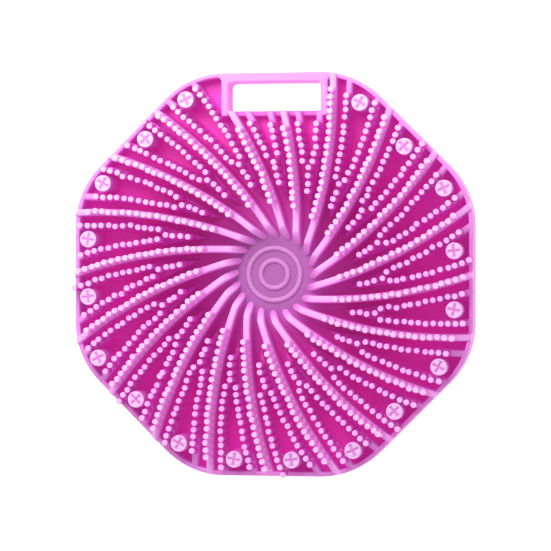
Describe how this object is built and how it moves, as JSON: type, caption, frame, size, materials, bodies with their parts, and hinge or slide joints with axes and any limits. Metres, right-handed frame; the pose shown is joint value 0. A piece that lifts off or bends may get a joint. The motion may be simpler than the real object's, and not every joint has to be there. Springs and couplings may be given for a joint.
{
  "type": "silicone cleansing brush pad",
  "caption": "Flat octagonal silicone hand-held cleansing pad with spiral and forked ribs carrying rows of soft round bristles, cross-cut posts, a ringed hub and a hanging slot.",
  "frame": {"origin": "centre of the flat back face, under the middle of the hub", "axes": "+Z out of the bristle side; +Y towards the hanging slot; +X to the right when the bristles face the viewer with the slot up"},
  "size_m": [0.12, 0.12, 0.016],
  "materials": {
    "web_silicone": "satin",
    "rim_silicone": "satin",
    "hub_silicone": "satin",
    "post_silicone": "satin",
    "bristle_silicone": "satin",
    "rib_silicone": "satin"
  },
  "bodies": {
    "root": {"base_web": "web_silicone", "fork_arm_bristles": "bristle_silicone", "fork_stem_bristles": "bristle_silicone", "forked_rib_01": "rib_silicone", "forked_rib_02": "rib_silicone", "forked_rib_03": "rib_silicone", "forked_rib_04": "rib_silicone", "forked_rib_05": "rib_silicone", "forked_rib_06": "rib_silicone", "forked_rib_07": "rib_silicone", "forked_rib_08": "rib_silicone", "forked_rib_09": "rib_silicone", "forked_rib_10": "rib_silicone", "forked_rib_11": "rib_silicone", "forked_rib_12": "rib_silicone", "forked_rib_13": "rib_silicone", "forked_rib_14": "rib_silicone", "forked_rib_15": "rib_silicone", "forked_rib_16": "rib_silicone", "forked_rib_17": "rib_silicone", "forked_rib_18": "rib_silicone", "forked_rib_19": "rib_silicone", "forked_rib_20": "rib_silicone", "hub_disc": "hub_silicone", "hub_ring_inner": "hub_silicone", "hub_ring_outer": "hub_silicone", "outer_rim": "rim_silicone", "rim_posts": "post_silicone", "slot_frame": "rim_silicone", "spiral_rib_01": "rib_silicone", "spiral_rib_02": "rib_silicone", "spiral_rib_03": "rib_silicone", "spiral_rib_04": "rib_silicone", "spiral_rib_05": "rib_silicone", "spiral_rib_06": "rib_silicone", "spiral_rib_07": "rib_silicone", "spiral_rib_08": "rib_silicone", "spiral_rib_09": "rib_silicone", "spiral_rib_10": "rib_silicone", "spiral_rib_11": "rib_silicone", "spiral_rib_12": "rib_silicone", "spiral_rib_13": "rib_silicone", "spiral_rib_14": "rib_silicone", "spiral_rib_15": "rib_silicone", "spiral_rib_16": "rib_silicone", "spiral_rib_17": "rib_silicone", "spiral_rib_18": "rib_silicone", "spiral_rib_19": "rib_silicone", "spiral_rib_20": "rib_silicone", "spiral_rib_bristles": "bristle_silicone"}
  },
  "joints": []
}
